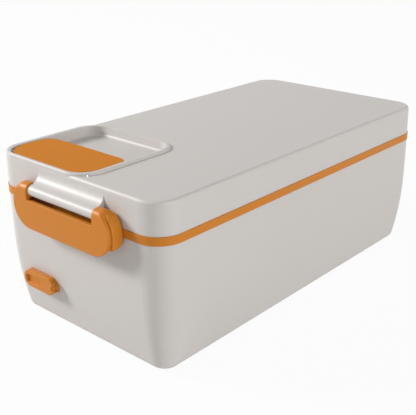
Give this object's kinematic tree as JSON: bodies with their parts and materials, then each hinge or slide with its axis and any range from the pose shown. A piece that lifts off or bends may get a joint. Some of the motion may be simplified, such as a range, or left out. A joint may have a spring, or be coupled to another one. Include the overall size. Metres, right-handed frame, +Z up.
{
  "type": "electric_lunch_box",
  "caption": "Long heated lunch box with a rear-hinged flat lid, orange band and snap latch, framed steam-vent flap and pill-shaped socket cover.",
  "frame": {"origin": "centre of the footprint, at the underside of the feet", "axes": "+X along the length from the latch end to the hinge end, +Y across towards the side with the socket and the steam vent, +Z up"},
  "size_m": [0.2572, 0.1278, 0.0968],
  "materials": {
    "pale_plastic": "fine satin",
    "orange_plastic": "satin",
    "liner_plastic": "satin",
    "dish_plastic": "gloss",
    "dark_plastic": "moulded",
    "silicone": "matt",
    "foot_rubber": "matt",
    "food_steel": "brushed",
    "plate_aluminium": "cast, blasted",
    "foil": "bright",
    "zinc_steel": "zinc plated",
    "brass_contact": "bright",
    "heater_ceramic": "matt",
    "fuse_ceramic": "matt",
    "brown_sleeve": "satin",
    "pale_sleeve": "braided",
    "blue_sleeve": "satin"
  },
  "bodies": {
    "base": {"outer_shell": "pale_plastic", "trim_ring": "orange_plastic", "base_plate": "pale_plastic", "base_screws": "zinc_steel", "rubber_feet": "foot_rubber", "heating_basin": "liner_plastic", "heating_plate": "plate_aluminium", "plate_gasket": "silicone", "ptc_heater": "heater_ceramic", "heater_clamp": "zinc_steel", "clamp_screws": "zinc_steel", "thermostat": "dark_plastic", "thermal_fuse": "fuse_ceramic", "heat_shield": "foil", "power_inlet": "dark_plastic", "inlet_pins": "brass_contact", "inlet_screws": "zinc_steel", "live_lead": "brown_sleeve", "heater_lead": "pale_sleeve", "neutral_lead": "blue_sleeve", "inlet_bezel": "orange_plastic", "steel_container": "food_steel", "side_tray": "dish_plastic", "hinge_pin": "zinc_steel", "inlet_cover_pin": "zinc_steel"},
    "lid": {"lid_shell": "pale_plastic", "lid_liner": "liner_plastic", "lid_gasket": "silicone", "liner_screws": "zinc_steel", "vent_grommet": "silicone", "vent_cap_pin": "zinc_steel", "latch_pin": "zinc_steel"},
    "latch": {"latch": "orange_plastic"},
    "vent_flap": {"vent_cap": "orange_plastic", "vent_plug": "silicone"},
    "inlet_cover": {"inlet_cover": "orange_plastic"}
  },
  "joints": [
    {"name": "lid_hinge", "type": "hinge", "parent": "base", "child": "lid", "pos_m": [0.125, 0, 0.0756], "axis": [0, 1, 0], "range_deg": [0, 100]},
    {"name": "latch_hinge", "type": "hinge", "parent": "lid", "child": "latch", "pos_m": [-0.1246, 0, 0.0832], "axis": [0, 1, 0], "range_deg": [0, 105]},
    {"name": "vent_flap_hinge", "type": "hinge", "parent": "lid", "child": "vent_flap", "pos_m": [-0.114, 0.0263, 0.09545], "axis": [0, -1, 0], "range_deg": [0, 90]},
    {"name": "inlet_cover_hinge", "type": "hinge", "parent": "base", "child": "inlet_cover", "pos_m": [-0.12163, 0.0194, 0.0268], "axis": [0, 0, 1], "range_deg": [0, 110]}
  ]
}
